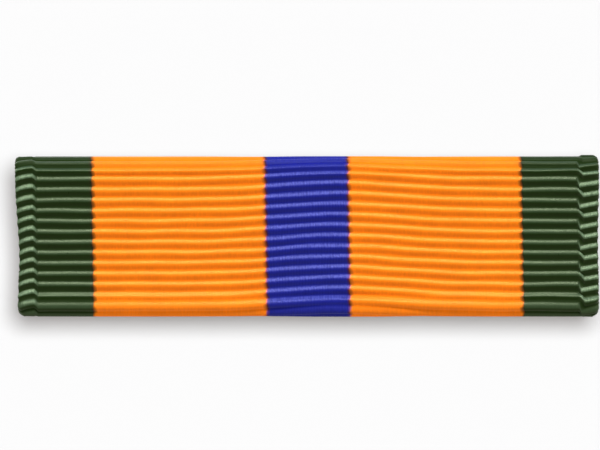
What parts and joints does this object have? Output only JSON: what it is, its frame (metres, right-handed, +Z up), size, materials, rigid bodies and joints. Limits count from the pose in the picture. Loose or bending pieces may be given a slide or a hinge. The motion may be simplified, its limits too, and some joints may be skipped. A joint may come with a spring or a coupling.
{
  "type": "service medal ribbon bar",
  "caption": "Striped woven service ribbon folded over a brass plate that slides onto a pin-backed mounting bar, held behind the cloth by squeeze clutches.",
  "frame": {"origin": "midway between the two pins, on the plane of the shoulders that the cloth rests against", "axes": "+X across the ribbon, left and right as seen from the front; -Y is the ribbon's face; +Y along the pins; +Z up as worn"},
  "size_m": [0.035, 0.0095, 0.0096],
  "materials": {
    "ribbon_weave": "ribbed grosgrain",
    "plate_brass": "satin",
    "bar_brass": "satin",
    "clutch_brass": "polished",
    "jaw_brass": "satin",
    "pin_metal": "nickel plated, satin",
    "spring_steel": "bright wire"
  },
  "bodies": {
    "mounting_bar": {"mounting_bar": "bar_brass", "left_pin_post": "pin_metal", "right_pin_post": "pin_metal"},
    "ribbon_unit": {"backing_plate": "plate_brass", "ribbon": "ribbon_weave"},
    "left_clutch": {"left_clutch_base": "clutch_brass", "left_clutch_cover": "clutch_brass", "left_clutch_spring": "spring_steel"},
    "left_outer_jaw": {"left_clutch_outer_jaw": "jaw_brass"},
    "left_inner_jaw": {"left_clutch_inner_jaw": "jaw_brass"},
    "right_clutch": {"right_clutch_base": "clutch_brass", "right_clutch_cover": "clutch_brass", "right_clutch_spring": "spring_steel"},
    "right_outer_jaw": {"right_clutch_outer_jaw": "jaw_brass"},
    "right_inner_jaw": {"right_clutch_inner_jaw": "jaw_brass"}
  },
  "joints": [
    {"name": "ribbon_slide", "type": "slide", "parent": "mounting_bar", "child": "ribbon_unit", "axis": [1, 0, 0], "range_m": [-0.03, 0.03]},
    {"name": "left_clutch_pull", "type": "slide", "parent": "mounting_bar", "child": "left_clutch", "axis": [0, 1, 0], "range_m": [-0.002, 0.0065]},
    {"name": "left_outer_jaw_squeeze", "type": "slide", "parent": "left_clutch", "child": "left_outer_jaw", "axis": [1, 0, 0], "range_m": [0, 0.0005], "stiffness_N_per_m": 2000, "springref_m": -0.0005, "deforming": ["left_clutch_spring"]},
    {"name": "left_inner_jaw_squeeze", "type": "slide", "parent": "left_clutch", "child": "left_inner_jaw", "axis": [-1, 0, 0], "range_m": [0, 0.0005], "stiffness_N_per_m": 2000, "springref_m": -0.0005, "deforming": ["left_clutch_spring"]},
    {"name": "right_clutch_pull", "type": "slide", "parent": "mounting_bar", "child": "right_clutch", "axis": [0, 1, 0], "range_m": [-0.002, 0.0065]},
    {"name": "right_outer_jaw_squeeze", "type": "slide", "parent": "right_clutch", "child": "right_outer_jaw", "axis": [-1, 0, 0], "range_m": [0, 0.0005], "stiffness_N_per_m": 2000, "springref_m": -0.0005, "deforming": ["right_clutch_spring"]},
    {"name": "right_inner_jaw_squeeze", "type": "slide", "parent": "right_clutch", "child": "right_inner_jaw", "axis": [1, 0, 0], "range_m": [0, 0.0005], "stiffness_N_per_m": 2000, "springref_m": -0.0005, "deforming": ["right_clutch_spring"]}
  ],
  "couplings": [
    {"joint": "left_inner_jaw_squeeze", "follows": "left_outer_jaw_squeeze", "ratio": 1},
    {"joint": "right_inner_jaw_squeeze", "follows": "right_outer_jaw_squeeze", "ratio": 1}
  ]
}
